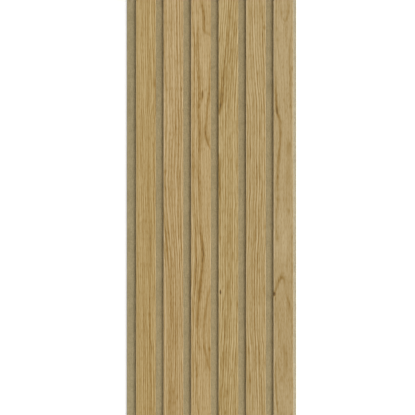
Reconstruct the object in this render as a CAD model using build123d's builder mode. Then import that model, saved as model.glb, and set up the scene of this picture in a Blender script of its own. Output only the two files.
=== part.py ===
"""Acoustic slat panel: a row of oak-veneered slats glued to a felt backing board.

The panel lies on its back. X runs across the slats, Y along them and Z up through the thickness.
The origin is the centre of the felt's back face, the face that is fixed to a wall or a ceiling.
"""

import os

from build123d import *

# Driving dimensions, in millimetres
PANEL_LENGTH = 2400.0  # slats and felt are sawn off together, flush at both ends
SLAT_COUNT = 6
SLAT_WIDTH = 29.0
SLAT_THICKNESS = 12.0
SLAT_GAP = 11.0  # width of the groove between two slats
SLAT_ARRIS_RADIUS = 0.8  # long front edges, rounded where the veneer is wrapped over them
FELT_THICKNESS = 9.0
FELT_MARGIN = 13.5  # bare felt beside the first slat, where the next panel butts on
FELT_LIP = 5.0  # bare felt that stands out beside the last slat

# Places that follow from the dimensions
slat_pitch = SLAT_WIDTH + SLAT_GAP
slat_field_width = SLAT_COUNT * SLAT_WIDTH + (SLAT_COUNT - 1) * SLAT_GAP
panel_width = FELT_MARGIN + slat_field_width + FELT_LIP
first_slat_x = -panel_width / 2 + FELT_MARGIN + SLAT_WIDTH / 2


def make_felt_backing():
    """The pressed felt board that carries the slats, cut square on all its edges."""
    with BuildPart() as felt_backing:
        with BuildSketch(Plane.XY):
            Rectangle(panel_width, PANEL_LENGTH)
        extrude(amount=FELT_THICKNESS)
    felt_backing.part.label = "felt_backing"
    return felt_backing.part


def make_slat(number):
    """One slat, seated flat on the felt: its section runs the whole length of the panel."""
    slat_x = first_slat_x + (number - 1) * slat_pitch
    with BuildPart() as slat:
        with BuildSketch(Plane.XZ):
            with Locations((slat_x, FELT_THICKNESS)):
                Rectangle(SLAT_WIDTH, SLAT_THICKNESS, align=(Align.CENTER, Align.MIN))
        extrude(amount=PANEL_LENGTH / 2, both=True)
        long_front_edges = slat.edges().filter_by(Axis.Y).group_by(Axis.Z)[-1]
        fillet(long_front_edges, radius=SLAT_ARRIS_RADIUS)
    slat.part.label = f"slat_{number}"
    return slat.part


pieces = [make_felt_backing()] + [make_slat(number) for number in range(1, SLAT_COUNT + 1)]

os.makedirs("parts", exist_ok=True)
for piece in pieces:
    export_step(piece, f"parts/{piece.label}.step")
    print(piece.label, piece.bounding_box().size)
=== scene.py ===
# %% [markdown]
# # Acoustic slat panel
# Six oak-veneered slats lie side by side on a board of grey-beige felt. The slats bounce the light and the
# felt between them swallows sound. The panel is 2.4 m long, lies on its back, and is seen from straight
# above.
#
# The shapes come from a fixed frame in metres: X runs across the slats, Y along them and Z up. This script
# dresses that frame. It never moves it.

import math

import bpy
import numpy as np
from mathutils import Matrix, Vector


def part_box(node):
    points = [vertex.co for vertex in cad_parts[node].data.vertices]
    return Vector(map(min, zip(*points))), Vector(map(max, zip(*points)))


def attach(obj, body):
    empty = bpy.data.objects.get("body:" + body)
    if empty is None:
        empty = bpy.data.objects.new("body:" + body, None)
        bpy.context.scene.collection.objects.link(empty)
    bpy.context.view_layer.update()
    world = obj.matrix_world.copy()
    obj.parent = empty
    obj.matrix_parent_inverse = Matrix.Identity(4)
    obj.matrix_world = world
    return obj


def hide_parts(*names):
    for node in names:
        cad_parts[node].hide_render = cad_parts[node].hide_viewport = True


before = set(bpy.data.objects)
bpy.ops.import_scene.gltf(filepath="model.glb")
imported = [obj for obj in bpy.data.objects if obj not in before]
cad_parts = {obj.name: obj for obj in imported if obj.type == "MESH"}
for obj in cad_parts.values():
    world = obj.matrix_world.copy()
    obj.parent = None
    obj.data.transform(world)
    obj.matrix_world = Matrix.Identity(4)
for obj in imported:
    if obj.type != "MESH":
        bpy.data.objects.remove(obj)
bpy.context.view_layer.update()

MM = 0.001
slat_names = sorted(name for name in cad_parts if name.startswith("slat_"))
felt_low, felt_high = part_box("felt_backing")
slat_low, slat_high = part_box(slat_names[0])
slat_width = (slat_high.x - slat_low.x) / MM
slat_thickness = (slat_high.z - slat_low.z) / MM
print(len(slat_names), "slats of", round(slat_width, 2), "x", round(slat_thickness, 2), "mm")
print("felt", [round(v / MM, 1) for v in felt_high - felt_low], "mm")

# %% [markdown]
# ## The camera
# The photograph is taken from far above, so that no side of a slat shows. A long lens does the same: at
# five metres the felt, which lies 12 mm lower than the slats, shrinks by less than a third of a pixel. The
# slats repeat every 40 mm on the real panel and every 27.5 pixels in the photograph, and that sets the
# width of the view. The panel's length runs out of the picture at both ends.

# %% Place the camera
PHOTO_PIXELS = 415
SLAT_PITCH_PIXELS = 27.5
PANEL_LEFT_PIXEL = 126.55
LENS_MM = 300.0
SENSOR_MM = 36.0

slat_pitch = (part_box(slat_names[1])[0].x - slat_low.x) / MM
pixel = slat_pitch / SLAT_PITCH_PIXELS
view_width = PHOTO_PIXELS * pixel
camera_x = felt_low.x / MM + (PHOTO_PIXELS / 2 - PANEL_LEFT_PIXEL) * pixel
camera_height = slat_high.z / MM + view_width * LENS_MM / SENSOR_MM

camera = bpy.data.objects.new("camera", bpy.data.cameras.new("camera"))
camera.data.lens = LENS_MM
camera.data.sensor_width = SENSOR_MM
camera.location = (camera_x * MM, 0, camera_height * MM)
bpy.context.scene.collection.objects.link(camera)
bpy.context.scene.camera = camera
bpy.context.scene.view_settings.view_transform = "Standard"
print("one pixel is", round(pixel, 3), "mm, the view is", round(view_width), "mm wide")

# %% [markdown]
# ## Colours and nodes
# Colours are written as sRGB hex, as a paint chart gives them, and one function turns them to the linear
# values that a shader works in. One more function adds a node to a tree with its settings and its inputs,
# so that each material below reads as a list of steps. An input that is a node stands for that node's first
# output.

# %% Four helpers
def linear(hex_colour):
    """sRGB hex to a linear RGBA colour."""
    channels = [int(hex_colour[i : i + 2], 16) / 255 for i in (1, 3, 5)]
    return [c / 12.92 if c <= 0.04045 else ((c + 0.055) / 1.055) ** 2.4 for c in channels] + [1.0]


def empty_tree(owner):
    """Gives a material or a world a node tree with nothing in it."""
    owner.use_nodes = True
    owner.node_tree.nodes.clear()
    return owner.node_tree


def add_node(tree, kind, inputs=None, **settings):
    """Adds a shader node. An input is a plain value, or a node or one of its outputs to link."""
    node = tree.nodes.new("ShaderNode" + kind)
    for name, value in settings.items():
        setattr(node, name, value)
    for key, value in (inputs or {}).items():
        if isinstance(value, bpy.types.Node):
            value = value.outputs[0]
        if isinstance(value, bpy.types.NodeSocket):
            tree.links.new(value, node.inputs[key])
        else:
            node.inputs[key].default_value = value
    return node


def span(low, high, to_low, to_high):
    """The inputs that make a Map Range node turn low to high into to_low to to_high."""
    return {"From Min": low, "From Max": high, "To Min": to_low, "To Max": to_high}


print("pale oak, #B2986A, is", [round(v, 3) for v in linear("#B2986A")[:3]])

# %% [markdown]
# ## Light
# The photograph has soft light from overhead, a little to the right: each slat shades a narrow strip of
# felt to its left, which fades out in about 6 mm. A sun with a wide disc does that evenly along the whole
# panel. A second, weaker one stands low on the right. It can't reach into the grooves, but it lights the
# slats' tops and the bare lip of felt beside the last slat. Together with a faint sky they light a surface
# that faces up at strength 1, so that a colour renders about as it is written.

# %% Two soft suns
SKY = 0.12
OVERHEAD = 0.56
LOW = 1.0 - SKY - OVERHEAD
OVERHEAD_TILT, OVERHEAD_DISC = 11.0, 32.0  # degrees
LOW_TILT, LOW_DISC = 62.0, 24.0

suns = (("overhead", OVERHEAD, OVERHEAD_TILT, OVERHEAD_DISC), ("low", LOW, LOW_TILT, LOW_DISC))
for name, share, tilt, disc in suns:
    sun = bpy.data.objects.new(name, bpy.data.lights.new(name, "SUN"))
    sun.data.energy = math.pi * share / math.cos(math.radians(tilt))
    sun.data.angle = math.radians(disc)
    sun.rotation_euler = (0, math.radians(tilt), 0)
    bpy.context.scene.collection.objects.link(sun)
    print(name, "sun of strength", round(sun.data.energy, 2))

# %% A faint sky, white only where it is looked at
WHITE = linear("#FFFFFF")


def looked_at(tree):
    """1 where the camera looks straight, in a reflection or through glass, and 0 where light is gathered."""
    path = add_node(tree, "LightPath").outputs
    seen = add_node(tree, "Math", {0: path["Is Camera Ray"], 1: path["Is Glossy Ray"]}, operation="MAXIMUM")
    return add_node(tree, "Math", {0: seen, 1: path["Is Transmission Ray"]}, operation="MAXIMUM")


world = bpy.data.worlds.new("sky")
bpy.context.scene.world = world
sky = empty_tree(world)
faint = add_node(sky, "Background", {"Color": WHITE, "Strength": SKY})
white = add_node(sky, "Background", {"Color": WHITE, "Strength": 1.0})
mixed = add_node(sky, "MixShader", {0: looked_at(sky), 1: faint, 2: white})
add_node(sky, "OutputWorld", {"Surface": mixed})
print("the sky lights at", SKY, "and is seen at", white.inputs["Strength"].default_value)

# %% [markdown]
# ## The floor
# The floor is matt white board. Lit at strength 1 it would be a light grey, so camera rays also see a faint
# glow, which lifts it to white. The glow lights nothing, and where the panel's shadow falls the board goes
# grey. It lies a hair under the panel, because two faces in the very same plane flicker.

# %% A white floor that keeps the shadow
FLOOR_SIZE = 120.0  # metres
FLOOR_GLOW = 0.5
FLOOR_DROP = 0.1  # mm

bpy.ops.mesh.primitive_plane_add(size=FLOOR_SIZE)
floor = bpy.context.object
floor.name = "floor"
floor.location.z = -FLOOR_DROP * MM
board = bpy.data.materials.new("white_board")
tree = empty_tree(board)
glow = add_node(tree, "Math", {0: looked_at(tree), 1: FLOOR_GLOW}, operation="MULTIPLY")
matt = add_node(tree, "BsdfDiffuse", {"Color": linear("#E6E6E6")})
lift = add_node(tree, "Emission", {"Color": WHITE, "Strength": glow})
both = add_node(tree, "AddShader", {0: matt, 1: lift})
add_node(tree, "OutputMaterial", {"Surface": both})
floor.data.materials.append(board)
print("the floor is", FLOOR_SIZE, "m wide and lies at", round(floor.location.z / MM, 2), "mm")

# %% [markdown]
# ## How a slat's grain comes about
# Oak veneer is a thin slice of a log. The dark and pale lines on it are the log's yearly rings, cut open.
# Where the log's heart lies far to one side, the lines run straight. Where the log bends under the knife
# they lean, and where the knife only grazes a ring, its line closes into an arch.
#
# The grain could be painted with a stretched noise alone, but noise has no arches, and no lines that belong
# together. So it comes in three layers. First come the fine rings: a few stand at a chosen distance from
# the log's heart, and even ones, a few millimetres apart, fill the wood between them. Then come the few
# strong lines, which the eye remembers, drawn as paths. Last come the knots and flecks, marked one
# by one. The distances from the heart and from each strong line are stored in the slat's mesh, in
# millimetres, and the material only has to turn distance into colour.

# %% What is written down for a slat
# Places and lengths are in mm, from the middle of the slat. A tone is counted in the 0 to 255 steps of a
# picture editor, and a dark one is negative.
# heart and depth are (along, mm) points: where the log's heart lies across the slat, and how deep below it.
# rings are the chosen fine ones, as (distance from the heart, tone, width).
# lines are the strong ones: a width, then (across, along, tone) points. A line fades out where its tone is 0.
# marks are single knots, flecks and stains, as (across, along, half width, half length, tone).
# even is the strength of the even rings at the slat's left and right edges, and spacing their distance.
# streak is the strength of the fine streaks at both edges, and length how long they are.
# broad is the strength of slow swings, tone is the tone of the bare wood, and tint is laid over its colour.
SLATS = []


def add_slat(**grain):
    """Keeps what is written down for the next slat."""
    SLATS.append(grain)
    print("slat", len(SLATS), "has", len(grain["lines"]), "strong lines and", len(grain["marks"]), "marks")


# %% Slat 1: straight and even, with pale lines
add_slat(
    heart=[(229, -40), (205, -38.7), (142, -38.7), (130, -40), (40, -40), (-18, -38.6), (-84, -38.6),
           (-120, -37.1), (-193, -37.1), (-207, -36.4), (-290, -36.4)],
    depth=[(0, 0)],
    rings=[(27.5, -6, 1.2), (29.8, 6, 1.2), (32.8, -7, 1.2), (35.4, -10, 1.2), (39.3, -12, 1.2),
           (40.9, 8, 0.9), (42.3, -14, 1.2), (44.9, -10, 1.2), (48.4, -6, 1.2), (50.7, -7, 1.3),
           (53.4, -12, 1.4)],
    lines=[
        (1.2, [(6.7, 300, 26), (6.7, 255, 26), (7.2, 230, 20), (8.6, 208, 14), (9.2, 190, 8),
               (8.3, 150, 13), (7.4, 120, 10), (7.3, 80, 11), (7, 55, 7), (8.3, 25, 9), (8.4, -20, 9),
               (8.6, -80, 11), (9.5, -125, 12), (8.9, -155, 8), (8.5, -190, 8), (8.3, -230, 15),
               (8.3, -300, 19)]),
        (1.1, [(-2, 300, 6), (-1.9, 265, 13), (-1.8, 200, 10), (-1.5, 110, 11), (-0.5, 60, 8),
               (-0.4, -10, 9), (-0.4, -80, 8), (1.1, -125, 12), (1.2, -200, 6), (1.3, -260, 9),
               (1.2, -300, 6)]),
        (1.3, [(3.5, 240, 0), (3.4, 205, -10), (3.8, 150, -6), (4.2, 105, -11), (4.5, 50, -9), (4, -5, -16),
               (5.5, -28, -10), (6.8, -45, -24), (6.7, -78, -24), (5.6, -100, -9), (5.4, -140, -18),
               (5.6, -190, -26), (6.5, -212, -10), (6.8, -240, -25), (8.2, -265, -18), (6.8, -300, -20)]),
        (1.2, [(12.6, 165, 0), (12.6, 140, -24), (11.8, 110, -6), (10.9, 85, -16), (10.9, 55, -18),
               (12.5, 35, -13), (12.6, -10, -8), (13, -60, 0)]),
    ],
    marks=[(12.7, 181, 2.6, 8, -26), (13, 195, 3, 7, -9), (9.8, 146, 1.2, 7, -20), (7, 196, 1.3, 13, -14),
           (8.4, -205, 1.3, 13, -22), (-7, -15, 3, 6, 8), (-7, 40, 3, 8, 7)],
    even=(8.5, 14.5), spacing=2.9, streak=(3.5, 7.5), length=48, broad=2.0, tone=151.5, tint="#FDFDF0",
)

# %% Slat 2: calm above, with the legs of an arch below
add_slat(
    heart=[(302, -21.7), (250, -21), (162, -19.7), (113, -19.3), (92, -19.9), (50, -21), (-302, -21)],
    depth=[(302, 15), (25, 15), (-1, 13.8), (-25, 12), (-47, 9.3), (-69, 6.2), (-94, 3), (-113, 0),
           (-302, 0)],
    rings=[(26.4, -9, 1.2), (28.3, 6, 1.0), (30.5, -12, 1.3), (32.0, 8, 0.9), (33.6, -12, 1.2)],
    lines=[
        (2.0, [(-8, 300, 11), (-8, 225, 11), (-7.7, 200, 8), (-7, 180, 5), (-7.8, 150, 7), (-7, 110, 4),
               (-7, 70, 3), (-6, 40, 0)]),
        (1.9, [(-14, -80, 0), (-12.8, -98, 9), (-11.6, -130, 12), (-11.2, -180, 10), (-11.2, -300, 10)]),
        (1.2, [(-9.8, 302, -10), (-9.8, 220, -8), (-9.9, 178, 0), (-9.9, 130, -8), (-9.9, 20, 0)]),
        (1.6, [(-11.3, 110, 0), (-11.3, 80, -12), (-11.3, -95, -12), (-11.5, -120, 0)]),
        (1.2, [(-8.4, -90, 0), (-8.4, -130, -12), (-8.2, -302, -11)]),
        (2.4, [(0.4, 302, 9), (0.2, 150, 9), (0.4, 60, 6), (0.6, 10, 0)]),
        (1.6, [(6.6, 302, 11), (6.6, 240, 11), (6.6, 150, 12), (6.4, 110, 0)]),
        (1.7, [(-4.2, 302, -8), (-4.2, 240, -12), (-4.2, 205, -13), (-3.7, 182, -13), (-2.7, 155, -15),
               (-2.5, 125, -13), (-2.8, 95, -11), (-3.5, 60, -8), (-3.6, 40, 0)]),
        (1.7, [(4.7, 302, -11), (4.9, 240, -12), (4.9, 190, -12), (4.6, 148, -15), (4.4, 130, -19),
               (2.6, 114, -15), (0, 99, -10), (-2.4, 82, -8), (-3.8, 60, -8), (-4.1, 32, -15),
               (-3.2, 10, -11), (-1.8, -10, -16), (-0.8, -28, -26), (0.2, -48, -22), (1.5, -68, -25),
               (2.6, -90, -16), (3.2, -108, -14), (3.3, -150, -9), (3.3, -195, -18), (3.2, -222, -17),
               (2, -245, -16), (1.6, -268, -20), (2, -300, -12)]),
        (1.6, [(-10, 0, 0), (-9.4, -14, -12), (-8.2, -27, -15), (-6.8, -40, -16), (-5, -54, -11),
               (-3.6, -65, -19), (-2.9, -80, -18), (-2.4, -98, -15), (-1.3, -112, -17), (-1.2, -135, -18),
               (-1.4, -160, -30), (-1.9, -176, -10), (-1.5, -192, -18), (-2.2, -225, -10),
               (-2.8, -262, -18), (-2.7, -282, -22), (-1.5, -300, -16)]),
        (1.7, [(-12.2, -22, 0), (-11.5, -38, -24), (-10, -52, -22), (-8.8, -69, -26), (-7.8, -80, -18),
               (-6.5, -92, -18), (-5.4, -102, -20), (-4.3, -124, -28), (-4.2, -146, -28), (-5.3, -168, -14),
               (-5.8, -200, -22), (-5.6, -238, -16), (-5.7, -262, -20), (-5.5, -300, -23)]),
        (1.3, [(7, 90, 0), (7, 62, -12), (7.2, 40, -22), (7.6, 26, -10), (8.6, 0, -8), (10, -44, -18),
               (10.4, -66, -16), (11, -90, 0)]),
        (1.3, [(5.7, 95, 0), (5.8, 70, 14), (5.7, 45, 13), (6, 10, 9), (6, -20, 8), (6.5, -40, 0)]),
        (1.3, [(11.5, 82, 0), (11.6, 64, 16), (11.5, 30, 13), (13, 5, 11), (13, -35, 10), (12, -60, 0)]),
    ],
    marks=[(11.8, 172, 1.3, 5, -40), (8.7, -52, 1.3, 10, 22), (0, -248, 1.3, 9, 16),
           (13.3, -215, 1.2, 16, 20), (5.9, -276, 1.2, 7, -22), (8.8, -190, 1.4, 24, 4),
           (3.2, 23, 1.3, 13, -15), (13.4, 185, 1.3, 10, -10), (-0.5, -70, 1.3, 14, 16),
           (10.5, 45, 1.2, 12, -16)],
    even=(9.0, 10.0), spacing=3.3, streak=(6.5, 7.0), length=50, broad=2.5, tone=153.8, tint="#FFFEFB",
)

# %% Slat 3: two dark winding lines
add_slat(
    heart=[(302, -41), (240, -39.8), (120, -40.4), (20, -40.6), (-20, -39.2), (-65, -36.4), (-110, -39.2),
           (-150, -41), (-190, -41.8), (-302, -41)],
    depth=[(0, 0)],
    rings=[(27, 9, 1.2), (31.8, 8, 1.2), (34.2, -7, 1.0), (50.8, 5, 1.2), (54.6, -12, 1.5)],
    lines=[
        (2.4, [(-3.8, 300, 0), (-3.9, 275, -12), (-4.2, 255, -24), (-4.4, 240, -26), (-4.5, 222, -17),
               (-3.6, 205, -32), (-3.3, 185, -30), (-2.8, 172, -32), (-2.3, 161, -48), (-3.4, 146, -42),
               (-3.3, 133, -34), (-2.4, 118, -32), (-2.2, 92, -38), (-2.7, 78, -27), (-3.2, 66, -21),
               (-3, 52, -27), (-2.5, 38, -34), (-2.2, 22, -23), (-1.5, 8, -17), (-0.2, -5, -17),
               (0, -25, -15), (-0.2, -37, -38), (0.8, -46, -38), (2.2, -54, -44), (2.8, -66, -48),
               (2.6, -76, -46), (2, -85, -42), (1.2, -93, -38), (0.2, -101, -40), (-0.9, -109, -42),
               (-1.8, -117, -46), (-2.3, -128, -50), (-2.8, -139, -34), (-4.1, -151, -26),
               (-5.1, -165, -36), (-5.4, -179, -31), (-4.6, -190, -23), (-3.2, -201, -21), (-2, -208, 0)]),
        (1.9, [(-12, 300, -16), (-11.5, 280, -24), (-10.7, 255, -26), (-9.4, 240, -27), (-9.2, 222, -27),
               (-9.8, 190, -22), (-10.2, 160, -23), (-10.6, 130, -22), (-10.8, 95, -27), (-10.9, 60, -25),
               (-11, 30, -20), (-10.6, 0, -20), (-10, -15, -22), (-8.8, -26, -26), (-7.8, -36, -26),
               (-7.5, -48, -27), (-7.3, -62, -30), (-6.6, -75, -42), (-7, -90, -38), (-7.7, -99, -30),
               (-8.3, -109, -36), (-9.1, -120, -26), (-10, -135, -22), (-10.6, -155, -20), (-11, -172, -11),
               (-12, -190, -23), (-11.4, -205, -13), (-10.7, -225, -19), (-10.5, -250, -17),
               (-10.7, -285, -15), (-10.3, -300, -13)]),
        (2.3, [(0.8, 302, -20), (2, 292, -34), (3.6, 285, -34), (4.2, 277, -42), (4.4, 266, -36),
               (4.3, 257, -20), (4.4, 246, 0)]),
        (3.6, [(2.6, 262, 0), (4.2, 256, -14), (6.5, 254, -19), (9.5, 253, -17), (13, 251, -15),
               (17, 249, -13)]),
        (2.1, [(17, 225, -9), (13.6, 212, -15), (11.8, 200, -20), (12, 190, -24), (12.6, 180, -40),
               (11.8, 169, -38), (11, 160, -42), (9.9, 150, -36), (9.2, 140, -32), (8.5, 131, -34),
               (7.2, 121, -36), (6.4, 110, -38), (6.8, 103, -40), (8.6, 98, -46), (11, 92, -36),
               (14, 84, -20), (18, 76, 0)]),
        (2.3, [(17, -108, -15), (13, -118, -18), (11.3, -126, -26), (9.2, -133, -21), (8, -142, -23),
               (7, -150, -26), (5.6, -158, -33), (4.6, -170, -21), (3.9, -186, -22), (4.1, -200, -24),
               (5.1, -207, -36), (6.8, -214, -23), (9, -222, -15), (11.4, -231, -21), (17, -240, -9)]),
        (1.4, [(-6.6, -215, 0), (-6.3, -236, -28), (-6.1, -256, -19), (-5.6, -276, -13), (-4.8, -288, -17),
               (-3.4, -297, -36), (-2, -306, -11)]),
    ],
    marks=[(-12.1, -38, 1.3, 14, -13), (-6.3, 291, 1.4, 12, -13), (12.4, 101, 1.8, 6, -16),
           (6.8, -230, 1.8, 10, -12), (2.4, 164, 1.7, 8, -60), (1.2, 156, 1.2, 5, -22),
           (12.6, -206, 2.2, 4, -20), (12, -222, 5, 22, -12), (-2, -205, 3.4, 6, -12),
           (14, 215, 2, 30, -12), (5, 215, 4.5, 40, 5), (5, 40, 6, 60, 4), (-1, -250, 4, 40, 5)],
    even=(10.5, 1.5), spacing=3.0, streak=(10.5, 4.5), length=42, broad=2.5, tone=155.0, tint="#FFFEF8",
)

# %% Slat 4: leaning lines, and a small knot
add_slat(
    heart=[(302, -51), (200, -58), (150, -60), (-140, -60), (-200, -62), (-302, -66)],
    depth=[(0, 0)],
    rings=[(50, 6, 1.2), (56, -12, 1.3), (58, 5, 1.0), (60.2, -14, 1.3), (61.7, 8, 1.0), (63.2, -11, 1.2),
           (67.7, 8, 1.2), (70, -7, 1.0), (71.5, 9, 1.1), (73.4, -15, 1.3)],
    lines=[
        (2.6, [(0.4, 302, -13), (0.3, 288, -21), (0.1, 275, -15), (-0.9, 264, -11), (-1.1, 250, -19),
               (-2.4, 239, -22), (-3.3, 230, -15), (-4.6, 223, -13), (-5.8, 214, -24), (-6.1, 205, -26),
               (-6.8, 196, -30), (-7.8, 187, -34), (-8.6, 178, -38), (-9.3, 169, -44), (-10, 160, -48),
               (-10.8, 152, -50), (-11.8, 147, -44), (-13, 143, -36), (-16, 135, -36)]),
        (1.8, [(-16, 82, -19), (-14.3, 71, -33), (-13.2, 60, -31), (-12.8, 45, -36), (-12.7, 27, -41),
               (-13, 12, -24), (-13.2, 0, -15), (-12.9, -10, -13), (-12.6, -21, -28), (-12.8, -34, -13),
               (-12.6, -48, -16), (-13, -60, 0)]),
        (1.8, [(-1.9, -92, 0), (-1.8, -115, -11), (-1.5, -142, -15), (-2.6, -157, -13), (-4.1, -170, -21),
               (-4.8, -181, -17), (-5.6, -190, -22), (-6.6, -200, -18), (-8.2, -211, -22),
               (-8.5, -219, -26), (-8.6, -230, -23), (-8.9, -242, -18), (-9.6, -256, -18),
               (-10.6, -266, -13), (-11.6, -281, -18), (-12.8, -291, -18), (-15, -302, -24)]),
        (1.6, [(11.5, 292, -9), (10.2, 277, -17), (9.3, 268, -26), (8.3, 259, -29), (7.2, 248, -13),
               (6.5, 232, -13), (6.7, 219, -26), (6.3, 210, -17), (5.8, 200, -9), (4.8, 191, -19),
               (3.8, 180, -9), (2.4, 172, -13), (0.8, 160, -9), (0, 148, -13), (-1, 135, -9),
               (-3.8, 124, -15), (-4.5, 114, 0)]),
        (1.3, [(13, 275, -7), (12, 258, -22), (11.2, 244, -11), (10, 215, -9), (8, 196, -9),
               (7.4, 184, -21), (7, 172, -11), (6, 150, 0)]),
        (1.1, [(13.8, 240, 0), (13, 226, -17), (11.9, 205, -21), (10.6, 180, -12), (9.6, 160, -19),
               (8.8, 140, -12), (8, 118, 0)]),
        (1.1, [(4.6, 302, -8), (4.2, 280, -9), (3.3, 262, -8), (2.4, 244, -6), (1.6, 224, -16),
               (0.6, 205, -12), (-0.6, 186, -18), (-1.8, 166, -11), (-2.6, 150, 0)]),
        (1.1, [(8, 302, -10), (7.2, 285, -12), (5.6, 262, -8), (4.4, 240, -14), (3.6, 222, -12),
               (2.6, 200, 0)]),
        (1.8, [(13.4, -10, 0), (13.2, -40, -13), (12, -66, -13), (11.5, -90, 0)]),
        (1.1, [(13.9, 120, 0), (13.2, 100, -17), (12.7, 80, -12), (12.4, 60, -21), (12.1, 40, 0)]),
        (1.1, [(9, 302, 8), (8, 282, 15), (6.4, 258, 12), (5.4, 236, 8), (4.8, 215, 12), (3.4, 190, 0)]),
        (1.4, [(-4.8, -120, 0), (-5.6, -133, -17), (-7.6, -144, -22), (-8.8, -151, -17), (-9.5, -165, 0)]),
    ],
    marks=[(-5.5, 10, 1.2, 15, -12), (-8.4, -100, 1.3, 13, -12), (-11.5, -123, 1.5, 4.2, -95),
           (-3, -205, 1.3, 9, -28), (-4.2, -298, 1.3, 5, -30), (10.6, -298, 1.2, 7, -22),
           (-6, 125, 6, 18, 5), (-8, -126, 3.5, 10, 5)],
    even=(9.5, 11.0), spacing=3.4, streak=(9.0, 9.0), length=26, broad=2.5, tone=152.3, tint="#FCFEF4",
)

# %% Slat 5: straight, broken lines
add_slat(
    heart=[(302, -48.6), (244, -47.9), (215, -46.5), (178, -44.3), (156, -42.1), (135, -41.4), (25, -41.4),
           (0, -42.8), (-47, -42.8), (-69, -45), (-178, -45), (-200, -42.8), (-229, -42.8), (-258, -41.4),
           (-290, -41.4)],
    depth=[(0, 0)],
    rings=[(29.8, -12, 1.3), (31.4, 8, 1.0), (33.0, -12, 1.3), (35.6, 9, 1.1), (37.8, -10, 1.3),
           (44.6, 8, 1.0), (47.3, -8, 1.3), (50.9, -6, 1.3), (54.6, -8, 1.3)],
    lines=[
        (1.5, [(-6, 302, -21), (-6.1, 275, -20), (-5, 258, -14), (-4.2, 236, -6), (-3.4, 212, -23),
               (-2.8, 196, -14), (-1.3, 182, -13), (0, 165, -11), (1, 145, -20), (1, 125, -14),
               (1.1, 100, -12), (1, 65, -15), (1, 50, -28), (1, 37, -21), (1.1, 26, -16), (0.2, 12, -14),
               (-0.3, 4, -26), (-0.5, -15, -21), (-0.6, -38, -30), (-1, -50, -19), (-2, -66, -14),
               (-2.4, -95, -16), (-2.3, -132, -26), (-2.2, -150, -12), (-2, -168, -30), (-1.5, -182, -14),
               (-0.7, -196, -20), (-0.6, -226, -26), (-0.6, -242, -9), (0.6, -258, -18), (1.6, -272, -21),
               (2.2, -288, -12), (2.4, -302, -9)]),
        (1.6, [(10, 292, -5), (10.6, 278, -28), (10, 262, -16), (9.7, 250, -28), (10.5, 240, -30),
               (9.8, 226, -23), (10.6, 213, -16), (11.2, 200, -16), (11.6, 170, -7), (11.3, 148, -18),
               (11, 130, -7), (10.8, 90, -5)]),
        (1.3, [(6.3, 150, 0), (6, 130, -17), (5.6, 112, -30), (5.6, 98, -12), (5.4, 70, -14),
               (5.4, 52, -32), (5.6, 42, -23), (5.8, 20, -7), (5.5, -20, -12), (3.8, -48, -24),
               (3.2, -62, -9), (2.5, -78, -34), (2.4, -88, 0)]),
        (1.4, [(4.5, -170, 0), (5.3, -190, -19), (5.3, -226, -34), (5.8, -236, -7), (8.2, -258, -24),
               (8.4, -292, -19), (8.4, -302, -12)]),
        (1.3, [(-4, 280, 0), (-3.3, 262, 16), (-1.9, 236, 16), (-1.3, 207, 14), (-0.1, 188, 14),
               (1.2, 174, 10), (2, 150, 0)]),
        (1.3, [(6.9, -170, 8), (6.9, -215, 17), (6.9, -228, 21), (7, -245, 0)]),
        (1.3, [(14.1, 302, -12), (14.1, -302, -10)]),
        (1.4, [(-13.3, 300, 16), (-13.4, 240, 6), (-13.3, 165, 10), (-13.2, 60, 6), (-13.2, -40, 8),
               (-13.2, -80, 6), (-13, -130, 0)]),
        (1.4, [(-12.4, -235, 0), (-12.2, -265, 11), (-12.1, -302, 13)]),
    ],
    marks=[(-10.6, 183, 1.4, 14, 10), (6.8, 249, 1.4, 14, 9), (12.7, 262, 2.4, 5, -26),
           (-10.8, -208, 1.3, 7, -20), (-7.7, -247, 1.4, 11, -20), (9.7, -38, 1.3, 7, 18),
           (2.4, 190, 1.3, 11, -18), (-10.8, 75, 1.3, 16, -13), (-8, 76, 1.3, 7, -14),
           (-6.5, -52, 1.4, 9, -16), (6.8, 285, 1.2, 12, -12), (11, -120, 1.3, 6, -14)],
    even=(8.5, 11.0), spacing=3.5, streak=(6.0, 7.5), length=34, broad=2.0, tone=154.5, tint="#FCFEFA",
)

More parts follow.
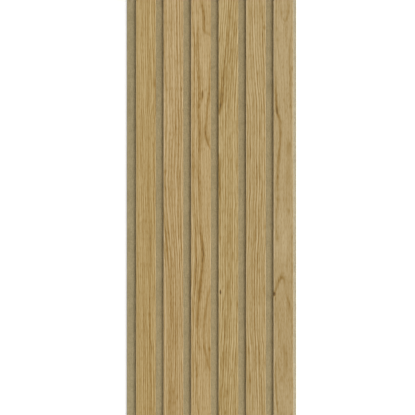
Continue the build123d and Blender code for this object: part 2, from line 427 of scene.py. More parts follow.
# %% Slat 6: pale, with one dark winding line
add_slat(
    heart=[(302, -40), (200, -41), (120, -37.5), (45, -40), (-60, -40.5), (-230, -40.5), (-302, -38)],
    depth=[(0, 0)],
    rings=[(26.8, 9, 1.2), (32, 4, 1.2), (54.4, 6, 1.2)],
    lines=[
        (2.0, [(-9.8, 302, -11), (-10.3, 285, -15), (-10, 268, -15), (-9.4, 248, -14), (-8.4, 234, -13),
               (-7, 224, -14), (-5.6, 217, -14), (-4, 206, -6), (-3, 190, 0)]),
        (2.3, [(-11.3, 215, 0), (-11.5, 195, -11), (-11.6, 178, -19), (-11.3, 165, -34), (-10.6, 154, -36),
               (-10, 145, -38), (-9.2, 138, -42), (-7.2, 133, -38), (-5.6, 128, -32), (-5, 118, -22),
               (-4.5, 108, -36), (-4.8, 97, -36), (-5.5, 88, -30), (-6.5, 76, -40), (-7.3, 66, -33),
               (-8.3, 55, -31), (-8.7, 42, -36), (-8.6, 28, -27), (-8.6, 12, -23), (-8.6, 0, -21),
               (-9.3, -13, -16), (-9.6, -26, -7), (-9.6, -38, -22), (-9.2, -48, -22), (-8.6, -60, 0)]),
        (2.8, [(-5.2, 302, -12), (-4.5, 287, -12), (-3.2, 278, -13), (0, 273, -13), (3.5, 268, -18),
               (5.8, 272, -14), (7, 284, -14), (7.8, 302, -9)]),
        (2.0, [(12.5, 262, 0), (10.5, 250, -9), (9, 238, -13), (8.4, 222, -11), (8.4, 208, -13),
               (9.4, 198, -24), (10.3, 189, -17), (9.4, 180, -19), (9.4, 170, -15), (10.5, 160, -13),
               (11.2, 145, -17), (12, 130, -10), (13, 115, 0)]),
        (2.9, [(-13, -125, -28), (-10, -117, -18), (-8.6, -112, -21), (-7, -108, -23), (-5.4, -105, -34),
               (-3.4, -102, -40), (-1, -100, -46), (0.6, -101, -40), (1.6, -105, -21), (2.2, -111, -17),
               (3, -118, -14), (4, -125, -11), (5.6, -131, -17), (7.6, -138, -18), (9.2, -146, -20),
               (9.6, -153, -11), (11, -162, 0)]),
        (3.0, [(-7, -103, 0), (-3.6, -98, -17), (-1, -95, -21), (0.8, -94, -17), (2.4, -100, 0)]),
        (1.8, [(13.2, -135, 0), (13, -150, -13), (12.9, -185, -13), (12.6, -205, -7), (12.5, -215, 0)]),
        (1.8, [(-11.4, -215, 0), (-11.6, -230, -24), (-11.5, -245, -19), (-11.2, -258, -24),
               (-10.7, -270, -24), (-9.8, -282, -26), (-8.9, -290, -34), (-7.8, -296, -26),
               (-6.5, -304, -24)]),
        (1.5, [(-8.6, -205, 0), (-7.6, -222, -18), (-7, -232, -18), (-5.6, -240, -17), (-5, -247, 0)]),
        (2.4, [(13.3, 302, -6), (13.3, 0, -6), (13.3, -45, -20), (13.3, -90, -20), (13.3, -150, -12),
               (13.3, -302, -12)]),
        (1.8, [(-9.4, -132, 0), (-9, -150, -11), (-7.4, -165, -9), (-8, -180, -11), (-6.2, -187, -13),
               (-7.5, -198, 0)]),
    ],
    marks=[(-13, -126, 2.2, 3.6, -75), (-11.5, -133, 1.5, 4, -18), (3.4, -226, 4.6, 28, -14),
           (-2.4, -250, 2.8, 6, -13), (0.8, -206, 3, 11, -9), (7.3, 86, 4.6, 15, -14),
           (7.4, 30, 4.2, 50, -8), (8, -6, 2.6, 7, -11), (13.2, 202, 1.3, 5, -26), (13.6, 125, 1.5, 60, 13),
           (13.8, 75, 1.3, 22, 13), (1, -45, 6, 45, 6), (3, 265, 3, 5, -6), (-9.2, 142, 2.4, 8, -18),
           (-6, 146, 2, 9, -12), (4.7, -95, 1.6, 8, 10), (9, -150, 5, 150, -5)],
    even=(2.5, 1.5), spacing=4.0, streak=(4.5, 4.2), length=34, broad=2.5, tone=155.0, tint="#FAFDFF",
)

# %% [markdown]
# ## Paths and distances
# A path is given only where the camera looks. Beyond that, the panel goes on for almost a metre at
# both ends, and there the path wanders at random, from a fixed seed. Running averages round its corners
# off, sharply in the view and softly beyond it.

# %% Paths that go on to the panel's ends
HALF_LENGTH = (slat_high.y - slat_low.y) / 2 / MM
VISIBLE = 300.0  # mm from the middle to the edge of the view
WANDER_SPACING = 90.0
HEART_WANDER, DEPTH_WANDER = 5.0, 6.0
PATH_STEP = 1.0
SHARP, SOFT = 4.0, 35.0  # mm of smoothing in the view and beyond it


def smoothed(values, spread):
    """A running average that weighs near values more, over about spread millimetres to either side."""
    reach = np.arange(-3 * spread, 3 * spread + PATH_STEP, PATH_STEP)
    weight = np.exp(-0.5 * (reach / spread) ** 2)
    padded = np.pad(values, len(reach) // 2, mode="edge")
    return np.convolve(padded, weight / weight.sum(), mode="valid")[: len(values)]


def wandering_path(points, wander, rng):
    """Follows the chosen points where the camera looks, and wanders at random beyond them."""
    points = sorted(points)
    beyond = np.arange(VISIBLE + WANDER_SPACING, HALF_LENGTH + WANDER_SPACING, WANDER_SPACING)
    shifts = rng.uniform(-wander, wander, (2, len(beyond)))
    low = [(-y, points[0][1] + shift) for y, shift in zip(beyond[::-1], shifts[0])]
    high = [(y, points[-1][1] + shift) for y, shift in zip(beyond, shifts[1])]
    known = np.array(low + points + high)
    along = np.arange(known[0, 0], known[-1, 0] + PATH_STEP, PATH_STEP)
    rough = np.interp(along, known[:, 0], known[:, 1])
    far = np.clip((abs(along) - VISIBLE) / WANDER_SPACING, 0, 1)
    return along, smoothed(rough, SHARP) * (1 - far) + smoothed(rough, SOFT) * far


def ring_distance(across, along, slat, seed):
    """How far each spot of the veneer lay from the log's heart, in millimetres."""
    rng = np.random.default_rng(seed)
    heart = np.interp(along, *wandering_path(slat["heart"], HEART_WANDER, rng))
    depth = np.interp(along, *wandering_path(slat["depth"], DEPTH_WANDER, rng))
    return np.hypot(across - heart, depth)


print("the heart lay", round(float(ring_distance(0, 0, SLATS[2], 1)), 1), "mm from the middle of slat 3")

# %% The strong lines, smoothed
LINE_WANDER = 4.0
TONE_WANDER = (0.4, 1.4)  # shares of the last chosen tone


def strong_line(points, rng):
    """A line's points, one per step of its length, and its sideways direction at each."""
    ends = []
    for across, along, tone in (points[0], points[-1]):
        way = math.copysign(1, along)
        places = np.arange(abs(along) + WANDER_SPACING, HALF_LENGTH + WANDER_SPACING, WANDER_SPACING)
        if abs(along) < VISIBLE:  # it ends within the view, so it goes no further
            places = places[:0]
        ends.append([(across + rng.uniform(-LINE_WANDER, LINE_WANDER), way * place,
                      tone * rng.uniform(*TONE_WANDER)) for place in places])
    known = np.array(ends[0][::-1] + list(points) + ends[1])
    travelled = np.append(0, np.hypot(*np.diff(known[:, :2], axis=0).T)).cumsum()
    steps = np.arange(0, travelled[-1], PATH_STEP)
    path = np.column_stack([smoothed(np.interp(steps, travelled, column), SHARP) for column in known.T])
    heading = np.gradient(path[:, :2], axis=0)
    heading /= np.linalg.norm(heading, axis=1, keepdims=True)
    return path, heading[:, ::-1] * (1, -1)


darkest, _ = strong_line(SLATS[2]["lines"][0][1], np.random.default_rng(0))
print("the darkest line of slat 3 has", len(darkest), "steps")

# %% The distance from a strong line
FAR_WIDTHS = 6.0  # line widths past which nothing of a line is stored
TONE_WIDTHS = 4.5  # line widths past which its tone is 0
USUAL_TONE = 40.0  # at this tone a line is as wide as it is written
THINNEST = 0.6  # the share of its width that a line keeps as its tone goes to 0
DARKEST = 1.6  # times the usual tone, past which a line grows no wider


def line_field(across, rows, width, points, rng):
    """Each spot's distance from a strong line, in line widths, and the line's tone there."""
    path, sideways = strong_line(points, rng)
    widths = width * (THINNEST + (1 - THINNEST) * np.minimum(abs(path[:, 2]) / USUAL_TONE, DARKEST))
    field = np.zeros((len(rows), len(across), 3))
    field[:, :, 0] = FAR_WIDTHS
    for row, along in enumerate(rows):
        near = np.flatnonzero(abs(path[:, 1] - along) < FAR_WIDTHS * width)
        if len(near):
            apart = np.broadcast_arrays(across[:, None] - path[near, 0], along - path[near, 1])
            apart = np.stack(apart, axis=2)
            gap = np.hypot(apart[:, :, 0], apart[:, :, 1])
            best = gap.argmin(axis=1)
            chosen = near[best]
            side = (apart[range(len(across)), best] * sideways[chosen]).sum(axis=1)
            distance = np.copysign(gap[range(len(across)), best], side) / widths[chosen]
            field[row, :, 0] = np.clip(distance, -FAR_WIDTHS, FAR_WIDTHS)
            field[row, :, 1] = np.where(abs(distance) < TONE_WIDTHS, path[chosen, 2], 0)
    return field


print("a line of 2 mm is stored up to", FAR_WIDTHS * 2, "mm to either side")

# %% [markdown]
# ## Places on the baked picture
# The exported model wears its colours as a square picture. A strip 2.4 m long would lose its grain there,
# so each long piece is cut into bands that lie side by side, with the hidden back beside them and the ends
# above them. An automatic unwrap would do too, but it cuts the strip where it likes and wastes room. A room
# is a (from, to) share of the picture's width or height.

# %% Rooms on the picture
BAND_ROOM, BACK_ROOM, END_ROOM = (0.01, 0.92), (0.94, 0.99), (0.955, 0.99)
BAND_GAP = 0.03
END_FILL = 0.98  # how much of its half of the picture's top a sawn end fills
SLAT_BANDS = 4
FELT_BANDS = 3


def between(room, share):
    """The place at a share of the way through a room."""
    return room[0] + (room[1] - room[0]) * share


def bake_strip(across, along, bands):
    """Corners of a face of the unrolled skin. across and along are its (from, to) shares of the whole."""
    band = min(int(sum(along) / 2 * bands), bands - 1)
    places = [(band + between((BAND_GAP, 1 - BAND_GAP), share)) / bands for share in across]
    left, right = (between(BAND_ROOM, place) for place in places)
    low, high = (between(BAND_ROOM, share * bands - band) for share in along)
    return [(left, low), (right, low), (right, high), (left, high)]


def bake_back(along):
    """Corners of a face of the back."""
    (left, right), (low, high) = BACK_ROOM, (between(BAND_ROOM, share) for share in along)
    return [(left, low), (right, low), (right, high), (left, high)]


def bake_end(spots, end):
    """Corners of a face of the sawn end 0 or 1, from the (across, up) shares of its corners."""
    turned = [(1 - across, up) if end else (across, up) for across, up in spots]
    return [(between(BAND_ROOM, (END_FILL * x + end) / 2), between(END_ROOM, up)) for x, up in turned]


def long_mesh(name, points, faces, places):
    """A mesh in metres from points in mm, with smooth sides and its places on the picture."""
    mesh = bpy.data.meshes.new(name)
    mesh.from_pydata(points * MM, [], faces)
    mesh.polygons.foreach_set("use_smooth", [len(face) == 4 for face in faces])
    mesh.uv_layers.new(name="OFBake").data.foreach_set("uv", np.array(places, np.float32).ravel())
    return mesh


print("a slat's picture has room for", SLAT_BANDS, "bands and the felt's for", FELT_BANDS)

# %% [markdown]
# ## A slat's body
# Inside the veneer is a strip of fibreboard. The veneer, about 0.6 mm thick, is wrapped round its face and
# both sides, and the saw leaves both bare at the ends. A bevelled box would do for the outside, but this
# mesh is built as rows of points round the section, so that each point knows its place in the veneer, and
# so that the ends can show the veneer's thin edge round the core.

# %% Points round the section
ARRIS_RADIUS = 0.8
VENEER = 0.6
FACE_STEPS = 8
ARRIS_STEPS = 5
SIDE_STEPS = 3
CREASE = 0.4  # room beside an arris for one more point, which keeps the shading of the flat faces flat


def half_section(half_width, height, radius):
    """From the middle of the face, round the arris and down to the foot of the side, as (x, z) in mm."""
    face = [(x, height) for x in np.linspace(0, half_width - radius - CREASE, FACE_STEPS + 1)]
    turns = np.linspace(0, math.pi / 2, ARRIS_STEPS + 1)
    arris = [(half_width - radius * (1 - math.sin(a)), height - radius * (1 - math.cos(a))) for a in turns]
    side = [(half_width, z) for z in np.linspace(height - radius - CREASE, 0, SIDE_STEPS + 1)]
    return np.array(face + arris + side)


def whole_section(half_width, height, radius):
    """From the left foot to the right one, with each point's distance round the section from its middle."""
    right = half_section(half_width, height, radius)
    round_right = np.append(0, np.hypot(*np.diff(right, axis=0).T)).cumsum()
    left = right[:0:-1] * (-1, 1)
    return np.vstack((left, right)), np.append(-round_right[:0:-1], round_right)


outer, outer_across = whole_section(slat_width / 2, slat_thickness, ARRIS_RADIUS)
inner, _ = whole_section(slat_width / 2 - VENEER, slat_thickness - VENEER, ARRIS_RADIUS - VENEER)
print(len(outer), "points round a slat, and the veneer is", round(2 * outer_across[-1], 1), "mm wide")

# %% Rows along the slat
FINE_STEP = 2.0
COARSE_STEP = 6.0
FINE_REACH = 308.0  # mm from the middle, just past the edge of the view

beyond = np.arange(HALF_LENGTH, FINE_REACH, -COARSE_STEP)
rows = np.concatenate((-beyond, np.arange(-FINE_REACH, FINE_REACH + FINE_STEP, FINE_STEP), beyond[::-1]))
loop = np.vstack((outer, inner[-1:], inner[:1]))
loop_across = np.append(outer_across, [outer_across[-1] + VENEER, outer_across[0] - VENEER])
print(len(rows), "rows, closer together where the camera looks")

# %% Faces of one slat
def slat_faces(size):
    """The faces between the rows and over both ends, which of them are bare, and their places when baked."""
    faces, is_core, places = [], [], []
    skin = 2 * loop_across[size - 2]
    for row in range(len(rows) - 1):
        along = [(rows[r] + HALF_LENGTH) / (2 * HALF_LENGTH) for r in (row, row + 1)]
        for j in range(size):
            a, b = row * size + j, row * size + (j + 1) % size
            faces.append((a, b, b + size, a + size))
            is_core.append(j >= len(outer) - 1)
            across = [0.5 + loop_across[j] / skin, 0.5 + loop_across[(j + 1) % size] / skin]
            places += bake_back(along) if j == size - 2 else bake_strip(across, along, SLAT_BANDS)
    first_cap = len(rows) * size
    for row in (0, len(rows) - 1):
        core = [row * size + size - 1, *range(first_cap, first_cap + len(inner) - 2), row * size + size - 2]
        first_cap += len(inner) - 2
        edge = range(row * size, row * size + len(outer))
        ring = [(edge[j], core[j], core[j + 1], edge[j + 1]) for j in range(len(outer) - 1)]
        caps = ring + [tuple(core[::-1])]
        faces += caps if row == 0 else [face[::-1] for face in caps]
        is_core += [False] * len(ring) + [True]
        spots = {**dict(zip(edge, outer)), **dict(zip(core, inner))}
        spots = {point: (x / slat_width + 0.5, z / slat_thickness) for point, (x, z) in spots.items()}
        for face in caps:
            cap = bake_end([spots[point] for point in face], 0 if row == 0 else 1)
            places += cap if row == 0 else cap[::-1]
    return faces, is_core, places


faces, is_core, places = slat_faces(len(loop))
print(len(faces), "faces in each slat, of which", sum(is_core), "are bare fibreboard")

# %% One slat with its grain
def slat_mesh(name, slat, seed):
    """A closed mesh of one slat, with its middle at x = 0 and its back at z = 0, and its grain stored."""
    size = len(loop)
    points = np.zeros((len(rows), size, 3))
    points[:, :, 0], points[:, :, 1], points[:, :, 2] = loop[:, 0], rows[:, None], loop[:, 1]
    hidden = inner[1:-1]
    caps = [np.column_stack((hidden[:, 0], np.full(len(hidden), end), hidden[:, 1])) for end in rows[[0, -1]]]
    mesh = long_mesh(name, np.vstack((points.reshape(-1, 3), *caps)), faces, places)
    mesh.polygons.foreach_set("material_index", np.array(is_core, int))

    along = np.repeat(rows[:, None], size, axis=1)
    across = np.repeat(loop_across[None], len(rows), axis=0)
    fields = {"grain": np.stack((ring_distance(across, along, slat, seed), along, across), axis=2)}
    rng = np.random.default_rng(10 + seed)
    for number, (width, path) in enumerate(slat["lines"], start=1):
        fields[f"line_{number}"] = line_field(loop_across, rows, width, path, rng)
    for stored, field in fields.items():
        ends = [field[end, 1 : len(inner) - 1] for end in (0, -1)]
        values = np.vstack((field.reshape(-1, 3), *ends)).astype(np.float32)
        mesh.attributes.new(stored, "FLOAT_VECTOR", "POINT").data.foreach_set("vector", values.ravel())
    return mesh


slats = []
for number, (node, slat) in enumerate(zip(slat_names, SLATS), start=1):
    low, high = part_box(node)
    piece = bpy.data.objects.new(f"veneered_{node}", slat_mesh(f"veneered_{node}", slat, seed=number))
    piece.location = ((low.x + high.x) / 2, (low.y + high.y) / 2, low.z)
    bpy.context.scene.collection.objects.link(piece)
    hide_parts(node)
    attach(piece, "root")
    slats.append(piece)
print(len(slats), "slats of", len(slats[0].data.vertices), "points each")

# %% [markdown]
# ## Oak veneer
# Real finish: plain-sliced oak veneer, sanded and sealed with a matt lacquer. The eye sees straw-coloured
# wood with darker, porous lines where each year's growth began. A line starts sharply on the side of the
# heart and fades outwards, because the large pores of spring come first. Finer streaks of pores run between
# the lines. Both arrises get a painted highlight, and painted light makes the wood a little paler at the top
# of the view.
#
# The tone of a spot is one number, counted in the 0 to 255 steps of a picture editor: that of the bare
# wood, plus layer on layer of rings, streaks, lines and marks. A colour ramp then turns tone into oak
# colours. An image of oak would be quicker, but its grain would belong to another board. Working in tone
# keeps each layer's strength easy to read off a photograph.

# %% Noises along the grain
# Each pattern: the size of its light and dark spots across the rings and along them, in mm.
# Real pores are 0.3 mm wide. They are drawn almost three times as coarse, so that they still show.
PATTERNS = {
    "wobble": (6.0, 30.0),
    "patch": (5.0, 32.0),
    "broad": (15.0, 220.0),
    "drift": (6.0, 160.0),
    "pore": (0.8, 8.0),
}
STREAK_MM = 1.4
NEXT_SLAT = (7, 3, 1)  # how far from the last slat's noise the next one starts


def grain_noises(tree, number, length):
    """The place in the grain once a wobble has bent it sideways, by how much, and each pattern's noise."""
    grain = add_node(tree, "Attribute", attribute_name="grain").outputs["Vector"]
    start = [step * number for step in NEXT_SLAT]
    noise = {}
    for name, (ring_size, along_size) in {**PATTERNS, "streak": (STREAK_MM, length)}.items():
        scale = (1 / ring_size, 1 / along_size, 0)
        place = add_node(tree, "VectorMath", {0: grain, 1: scale, 2: start}, operation="MULTIPLY_ADD")
        noise[name] = add_node(tree, "TexNoise", {"Vector": place, "Scale": 1.0, "Detail": 1.0})
        if name == "wobble":
            bend = add_node(tree, "Math", {0: noise[name], 1: 2.0, 2: -1.0}, operation="MULTIPLY_ADD")
            sideways = add_node(tree, "CombineXYZ", {"X": bend})
            grain = add_node(tree, "VectorMath", {0: grain, 1: sideways})
    return grain, bend, noise


print(len(PATTERNS) + 1, "noises, the finest", min(PATTERNS["pore"]), "mm across")

# %% The chosen fine rings
RING_RANGE = 80.0  # mm from the heart that the curve covers
RING_TONE = 50.0  # the strongest tone that it holds
RING_RISE, RING_FALL = 0.8, 1.4  # how far a ring reaches towards the heart and away from it, in its widths


def draw_rings(curve, rings):
    """Writes the rings into a curve of tone over the distance from the heart."""
    reaches = [(centre - RING_RISE * width, centre, centre + RING_FALL * width) for centre, _, width in rings]
    curve.points[0].location = (0, 0.5)
    curve.points[1].location = (1, 0.5)
    for distance in sorted({place for reach in reaches for place in reach}):
        tone = sum(ring[1] * np.interp(distance, reach, (0, 1, 0)) for ring, reach in zip(rings, reaches))
        point = curve.points.new(distance / RING_RANGE, 0.5 + tone / (2 * RING_TONE))
        point.handle_type = "VECTOR"


print("rings are chosen up to", max(ring[0] for slat in SLATS for ring in slat["rings"]), "mm from the heart")

# %% Rings, streaks, a painted highlight on the arrises and a painted fade of light
PATCHES = span(0.3, 0.7, 0.7, 1.9)  # some patches of rings are stronger than others
SWING = span(0.36, 0.6, -1.3, 0.9)  # a noise's usual range becomes darker and paler
DRIFT = 5.0  # radians by which the even rings stray from their spacing
PAINTED_LIGHT_FADE = 2.5  # painted light: how much paler the wood is drawn at the top of the view than at its middle
ARRIS_HIGHLIGHT_TONE = 14.0  # painted highlight: how much paler both arrises are drawn
ARRIS_HIGHLIGHT_MIDDLE, ARRIS_HIGHLIGHT_REACH = slat_width / 2 - 0.1, 1.0  # where the painted highlight lies, in mm round the section


def layered(tree, tone, layer, amount=1.0):
    """The tone with one more layer on it, so many times as strong."""
    return add_node(tree, "Math", {0: layer, 1: amount, 2: tone}, operation="MULTIPLY_ADD")


def by_side(tree, across, strengths):
    """A strength that changes evenly from the slat's left edge to its right one."""
    return add_node(tree, "MapRange", {"Value": across, **span(-slat_width / 2, slat_width / 2, *strengths)})


def fine_tone(tree, slat, grain, noise):
    """The tone of the wood with its fine rings and streaks, a painted highlight on its arrises and a painted
    fade of light.
    """
    place = add_node(tree, "SeparateXYZ", {0: grain}).outputs
    distance = add_node(tree, "Math", {0: place["X"], 1: RING_RANGE}, operation="DIVIDE")
    curve = add_node(tree, "FloatCurve", {"Value": distance})
    draw_rings(curve.mapping.curves[0], slat["rings"])
    curve.mapping.update()
    rings = add_node(tree, "MapRange", {"Value": curve, "To Min": -RING_TONE, "To Max": RING_TONE})
    patch = add_node(tree, "MapRange", {"Value": noise["patch"], **PATCHES})
    tone = layered(tree, slat["tone"], rings, patch)
    # Painted light: the wood is drawn paler towards the top of the view.
    fade = add_node(tree, "MapRange", {"Value": place["Y"], **span(-VISIBLE, VISIBLE, -PAINTED_LIGHT_FADE, PAINTED_LIGHT_FADE)})
    tone = layered(tree, tone, fade)
    # A painted highlight: both arrises are drawn paler.
    aside = add_node(tree, "Math", {0: place["Z"]}, operation="ABSOLUTE")
    arris = add_node(tree, "Math", {0: aside, 1: ARRIS_HIGHLIGHT_MIDDLE, 2: ARRIS_HIGHLIGHT_REACH}, operation="COMPARE")
    tone = layered(tree, tone, arris, ARRIS_HIGHLIGHT_TONE)
    turn = add_node(tree, "Math", {0: place["X"], 1: math.tau / slat["spacing"]}, operation="MULTIPLY")
    turn = add_node(tree, "Math", {0: noise["drift"], 1: DRIFT, 2: turn}, operation="MULTIPLY_ADD")
    wave = add_node(tree, "Math", {0: turn}, operation="SINE")
    wave = add_node(tree, "Math", {0: wave, 1: patch}, operation="MULTIPLY")
    tone = layered(tree, tone, wave, by_side(tree, place["Z"], slat["even"]))
    for name, amount in (("streak", by_side(tree, place["Z"], slat["streak"])), ("broad", slat["broad"])):
        swing = add_node(tree, "MapRange", {"Value": noise[name], **SWING}, interpolation_type="SMOOTHSTEP")
        tone = layered(tree, tone, swing, amount)
    return tone


print("the even rings are", [slat["spacing"] for slat in SLATS], "mm apart")

# %% Strong lines, pores and marks
LINE_REACH = (-1.9, 1.3)  # how far a strong line fades to either side, in line widths
LINE_BEND = 0.3  # how far the wobble bends a strong line, in line widths
BROKEN = span(0.4, 0.6, 0.8, 1.2)  # pores make a strong line uneven
PORES = span(0.5, 0.72, 0.0, -20.0)  # and they are dark by themselves
MARK_EDGE = (0.3, 1.2)  # shares of its size between which a mark fades


def with_lines(tree, tone, count, bend, pore):
    """The tone with so many strong lines drawn in."""
    uneven = add_node(tree, "MapRange", {"Value": pore, **BROKEN})
    for number in range(1, count + 1):
        place = add_node(tree, "Attribute", attribute_name=f"line_{number}").outputs["Vector"]
        place = add_node(tree, "SeparateXYZ", {0: place}).outputs
        side = add_node(tree, "Math", {0: bend, 1: LINE_BEND, 2: place["X"]}, operation="MULTIPLY_ADD")
        amount = place["Y"]
        for reach in LINE_REACH:
            fade = add_node(tree, "MapRange", {"Value": side, "From Min": reach, "From Max": 0.0},
                            interpolation_type="SMOOTHSTEP")
            amount = add_node(tree, "Math", {0: amount, 1: fade}, operation="MULTIPLY")
        tone = layered(tree, tone, amount, uneven)
    return tone


def with_marks(tree, tone, marks, grain):
    """The tone with the knots, flecks and stains on it."""
    for across, along, half_width, half_length, mark_tone in marks:
        offset = add_node(tree, "VectorMath", {0: grain, 1: (0, along, across)}, operation="SUBTRACT")
        shrunk = add_node(tree, "VectorMath", {0: offset, 1: (0, 1 / half_length, 1 / half_width)},
                          operation="MULTIPLY")
        reach = add_node(tree, "VectorMath", {0: shrunk}, operation="LENGTH").outputs["Value"]
        mark = add_node(tree, "MapRange", {"Value": reach, **span(*MARK_EDGE, mark_tone, 0.0)},
                        interpolation_type="SMOOTHSTEP")
        tone = layered(tree, tone, mark)
    return tone


print("the darkest mark is", min(mark[-1] for slat in SLATS for mark in slat["marks"]), "steps dark")

# %% Tone to lacquered oak
OAK = [(70, "#5A4124"), (112, "#906E33"), (137, "#A38652"), (154, "#B2986A"), (174, "#C4AC82")]
TONE_LOW, TONE_HIGH = OAK[0][0], OAK[-1][0]
PORE_DEPTH = 0.15  # mm
ROUGH_DARK, ROUGH_PALE = 0.72, 0.58  # the lacquer sinks into the dark, porous lines


def oak_veneer(number, slat):
    """Lacquered oak veneer with one slat's own rings, streaks, lines and marks."""
    material = bpy.data.materials.new(f"lacquered_oak_veneer_{number}")
    tree = empty_tree(material)
    grain, bend, noise = grain_noises(tree, number, slat["length"])
    tone = fine_tone(tree, slat, grain, noise)
    tone = with_lines(tree, tone, len(slat["lines"]), bend, noise["pore"])
    tone = layered(tree, tone, add_node(tree, "MapRange", {"Value": noise["pore"], **PORES}))
    tone = with_marks(tree, tone, slat["marks"], grain)
    level = add_node(tree, "MapRange", {"Value": tone, "From Min": TONE_LOW, "From Max": TONE_HIGH})
    ramp = add_node(tree, "ValToRGB", {"Fac": level})
    elements = ramp.color_ramp.elements
    for i, (step, colour) in enumerate(OAK):
        place = (step - TONE_LOW) / (TONE_HIGH - TONE_LOW)
        element = elements[i] if i < 2 else elements.new(place)
        element.position = place
        element.color = linear(colour)
    tinted = add_node(tree, "VectorMath", {0: ramp, 1: linear(slat["tint"])[:3]}, operation="MULTIPLY")
    relief = add_node(tree, "Bump", {"Height": level, "Strength": 0.4, "Distance": PORE_DEPTH * MM})
    roughness = add_node(tree, "MapRange", {"Value": level, "To Min": ROUGH_DARK, "To Max": ROUGH_PALE})
    wood = add_node(tree, "BsdfPrincipled", {"Base Color": tinted, "Roughness": roughness, "IOR": 1.5,
                                             "Specular IOR Level": 0.25, "Normal": relief})
    add_node(tree, "OutputMaterial", {"Surface": wood})
    return material


for number, (piece, slat) in enumerate(zip(slats, SLATS), start=1):
    piece.data.materials.append(oak_veneer(number, slat))
print("nodes in one oak veneer:", len(slats[0].data.materials[0].node_tree.nodes))

# %% [markdown]
# ## Fibreboard
# Real finish: the sawn edge of medium-density fibreboard, pressed from wood dust and glue. It shows at the
# slats' ends only, as an even brown with a fine, felty speckle. A saw-cut has no gloss. A plain brown would
# do from afar, but one noise gives both the speckle and its relief.

# %% The core's sawn ends
SPECKLE_MM = 0.8
SPECKLE_DEPTH = 0.2  # mm
DUST = ((0.3, "#8A6A48"), (0.7, "#AC8C66"))

fibreboard = bpy.data.materials.new("sawn_fibreboard")
tree = empty_tree(fibreboard)
place = add_node(tree, "TexCoord").outputs["Object"]
dust = add_node(tree, "TexNoise", {"Vector": place, "Scale": 1 / (SPECKLE_MM * MM), "Detail": 3.0})
ramp = add_node(tree, "ValToRGB", {"Fac": dust})
for element, (level, colour) in zip(ramp.color_ramp.elements, DUST):
    element.position = level
    element.color = linear(colour)
relief = add_node(tree, "Bump", {"Height": dust, "Strength": 0.5, "Distance": SPECKLE_DEPTH * MM})
core = add_node(tree, "BsdfPrincipled", {"Base Color": ramp, "Roughness": 0.9, "IOR": 1.5,
                                         "Specular IOR Level": 0.2, "Normal": relief})
add_node(tree, "OutputMaterial", {"Surface": core})
for piece in slats:
    piece.data.materials.append(fibreboard)
print("each slat has", len(slats[0].data.materials), "materials")

# %% [markdown]
# ## The felt board
# The felt is a stiff board, 9 mm thick, needle-punched and pressed from polyester fibres, and cut with a
# blade. Its faces are flat but a little uneven, and its edges are slightly soft. A subdivided box could be
# dented too, but a grid of rows round a section with rounded corners, like the slats, has points only where
# they are needed. Its small seeded unevenness only ever sinks below the true face, so that the slats stay
# seated on it.

# %% Points round the felt
CORNER_RADIUS = 0.9
CORNER_STEPS = 4
FELT_COLUMN = 5.0
FELT_ROW = 6.0

felt_size = (felt_high - felt_low) / MM


def felt_section(width, height):
    """Points round the felt's section, anticlockwise from its lower left corner, in mm."""
    points = []
    corners = ((-width / 2, 0, 180), (width / 2, 0, 270), (width / 2, height, 0), (-width / 2, height, 90))
    for x, z, start in corners:
        centre_x = x - math.copysign(CORNER_RADIUS, x)
        centre_z = z + (CORNER_RADIUS if z == 0 else -CORNER_RADIUS)
        points += [(centre_x + CORNER_RADIUS * math.cos(turn), centre_z + CORNER_RADIUS * math.sin(turn))
                   for turn in np.radians(np.linspace(start, start + 90, CORNER_STEPS + 1))]
        if start == 0:
            reach = width / 2 - 2 * CORNER_RADIUS
            points += [(x, height) for x in np.linspace(reach, -reach, round(width / FELT_COLUMN))]
    return np.array(points)


section = felt_section(felt_size.x, felt_size.z)
felt_rows = round(felt_size.y / FELT_ROW) + 1
felt_along = np.linspace(-felt_size.y / 2, felt_size.y / 2, felt_rows)
size = len(section)
print(size, "points round the felt, in", felt_rows, "rows")

# %% An uneven face
SINK = 0.25  # mm, the deepest dent
USUAL_DENT = 0.5  # of SINK
TOP_DENT = 0.6  # the pressed face is flatter than the cut edges
CLOSE = 0.01  # mm, near enough to a face to lie in it

rng = np.random.default_rng(90)
dents = rng.normal(0, 1, (felt_rows, size))
dents = np.abs(dents + np.roll(dents, 1, 0) + np.roll(dents, 1, 1)) / 3
sink = np.minimum(dents * SINK * USUAL_DENT, SINK)
points = np.zeros((felt_rows, size, 3))
points[:, :, 0] = section[:, 0]
points[:, :, 1] = felt_along[:, None]
points[:, :, 2] = section[:, 1]
at_top = section[:, 1] > felt_size.z - CLOSE
at_left = section[:, 0] < -felt_size.x / 2 + CLOSE
at_right = section[:, 0] > felt_size.x / 2 - CLOSE
points[:, at_top, 2] -= sink[:, at_top] * TOP_DENT
points[:, at_left, 0] += sink[:, at_left]
points[:, at_right, 0] -= sink[:, at_right]
print("the felt sinks by", round(float(sink.mean()), 2), "mm on average")

# %% The felt board's mesh
# The skin is all but the back. Its shares fall from 1 to 0 along the section, from its first point all
# the way round to it again, and the back takes up none of them.
back_face = CORNER_STEPS
travelled = np.append(0, np.hypot(*np.diff(section, axis=0, append=section[:1]).T)).cumsum()
skin = travelled / travelled[-1]
back_share = skin[back_face + 1] - skin[back_face]
skin = 1 - (skin - np.where(np.arange(size + 1) > back_face, back_share, 0)) / (1 - back_share)
felt_faces, felt_places = [], []
for row in range(felt_rows - 1):
    along = (row / (felt_rows - 1), (row + 1) / (felt_rows - 1))
    for j in range(size):
        a, b = row * size + j, row * size + (j + 1) % size
        felt_faces.append((b, a, a + size, b + size))
        across = (skin[j + 1], skin[j])
        felt_places += bake_back(along) if j == back_face else bake_strip(across, along, FELT_BANDS)
for end in (0, 1):
    first = end * (felt_rows - 1) * size
    face = tuple(range(first, first + size))
    felt_faces.append(face[::-1] if end else face)
    cap = bake_end(section / (felt_size.x, felt_size.z) + (0.5, 0), end)
    felt_places += cap[::-1] if end else cap
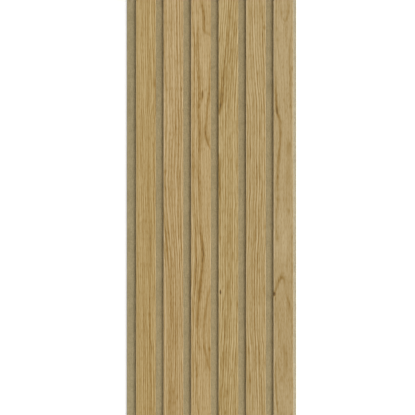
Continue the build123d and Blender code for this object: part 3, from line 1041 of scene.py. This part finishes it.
felt_mesh = long_mesh("felt_board", points.reshape(-1, 3), felt_faces, felt_places)
board_piece = bpy.data.objects.new("felt_board", felt_mesh)
board_piece.location = ((felt_low.x + felt_high.x) / 2, (felt_low.y + felt_high.y) / 2, felt_low.z)
bpy.context.scene.collection.objects.link(board_piece)
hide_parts("felt_backing")
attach(board_piece, "root")
print(len(felt_faces), "faces in the felt board")

# %% [markdown]
# ## Needle-punched felt
# Real finish: polyester fibres of a few near shades, punched through each other with barbed needles,
# pressed and heat-set. The eye sees a matt olive beige with a soft speckle, some fibres lighter and some
# darker, and no gloss. The bare lip beside the last slat gets painted light: it is tinted greyer, as plain
# light falls on it, while the felt in the grooves gets light warmed by the wood. Hair could stand for the
# fibres, but none stands out of this pressed board. So noises do it: tufts and single fibres, made by
# stretching a noise several ways, and a slow mottling of the density. A fibre is 0.03 mm thick, far too fine
# to show, so the fibres are drawn about eight times as coarse, and the tufts forty times.

# %% Tufts and fibres
TUFT_MM = 1.2
TUFT_STRETCH = 3
FIBRE_MM = 0.25
FIBRE_LENGTH_MM = 4.0
TUFT_TURNS, FIBRE_TURNS = (0.6, -0.7), (0.2, -1.0, 1.3)  # radians

felt_finish = bpy.data.materials.new("needle_punched_felt")
tree = empty_tree(felt_finish)
place = add_node(tree, "TexCoord").outputs["Object"]


def felt_layer(wide, long, turns):
    """The sum of noises that are stretched along several directions, to fibres so wide and long in mm."""
    total = 0.0
    for turn in turns:
        scale = (1 / (wide * MM), 1 / (long * MM), 1 / (wide * MM))
        turned = add_node(tree, "Mapping", {"Vector": place, "Rotation": (0, 0, turn), "Scale": scale})
        noise = add_node(tree, "TexNoise", {"Vector": turned, "Scale": 1.0, "Detail": 3.0, "Roughness": 0.6})
        total = add_node(tree, "Math", {0: total, 1: noise})
    return total


tufts = felt_layer(TUFT_MM, TUFT_STRETCH * TUFT_MM, TUFT_TURNS)
tufts = add_node(tree, "Math", {0: tufts, 1: felt_layer(TUFT_MM, TUFT_MM, (0.0,))})
fibres = felt_layer(FIBRE_MM, FIBRE_LENGTH_MM, FIBRE_TURNS)
print(len(tree.nodes), "nodes in the tangle of fibres")

# %% Matt olive beige
FIBRE_SHARE = 0.7
MOTTLE_MM = 14.0
MOTTLE_SHARE = 0.7
FIBRE_MIDDLE = 0.5 * len(FIBRE_TURNS)  # the fibre layer's mean, each of its noises being 0.5 on average
DARK, PALE = 1.4, 2.3  # the sum of tufts and mottle at which the colour ramp starts and ends
FELT_FADE = 0.08  # how much darker the felt is at the top of the view than at its middle
FELT_DEPTH = 0.25  # mm
LIP_LIGHT_MM = 0.6  # how gently the painted light on the lip begins
# painted light: the greyer tint of the bare lip, where plain light falls on it
LIP_LIGHT_TINT = (0.9, 0.98, 1.26)

tangle = add_node(tree, "Math", {0: fibres, 1: FIBRE_SHARE, 2: tufts}, operation="MULTIPLY_ADD")
mottle = add_node(tree, "TexNoise", {"Vector": place, "Scale": 1 / (MOTTLE_MM * MM), "Detail": 2.0})
density = add_node(tree, "Math", {0: mottle, 1: MOTTLE_SHARE, 2: tangle}, operation="MULTIPLY_ADD")
felt_place = add_node(tree, "SeparateXYZ", {0: place}).outputs
view = VISIBLE * MM
fade = add_node(tree, "MapRange", {"Value": felt_place["Y"], **span(-view, view, FELT_FADE, -FELT_FADE)})
density = add_node(tree, "Math", {0: density, 1: fade})
ends = [level + FIBRE_MIDDLE * FIBRE_SHARE for level in (DARK, PALE)]
level = add_node(tree, "MapRange", {"Value": density, "From Min": ends[0], "From Max": ends[1]})
ramp = add_node(tree, "ValToRGB", {"Fac": level})
ramp.color_ramp.elements[0].color = linear("#A79770")
ramp.color_ramp.elements[1].color = linear("#C9B98F")
lip_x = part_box(slat_names[-1])[1].x - board_piece.location.x
# Painted light: the lip right of the last slat is tinted greyer and bluer.
lip_light = add_node(tree, "MapRange", {"Value": felt_place["X"], "From Min": lip_x,
                                      "From Max": lip_x + LIP_LIGHT_MM * MM})
tint = add_node(tree, "Mix", {"Factor": lip_light, "A": (1, 1, 1), "B": LIP_LIGHT_TINT}, data_type="VECTOR")
shade = add_node(tree, "VectorMath", {0: ramp, 1: tint.outputs["Result"]}, operation="MULTIPLY")
relief = add_node(tree, "Bump", {"Height": tangle, "Strength": 0.5, "Distance": FELT_DEPTH * MM})
wool = add_node(tree, "BsdfPrincipled", {"Base Color": shade, "Roughness": 0.95, "IOR": 1.5,
                                         "Specular IOR Level": 0.1, "Sheen Weight": 0.1,
                                         "Sheen Roughness": 0.6, "Normal": relief})
add_node(tree, "OutputMaterial", {"Surface": wool})
board_piece.data.materials.append(felt_finish)
print("the lip starts", round(lip_x / MM, 1), "mm right of the felt's middle")
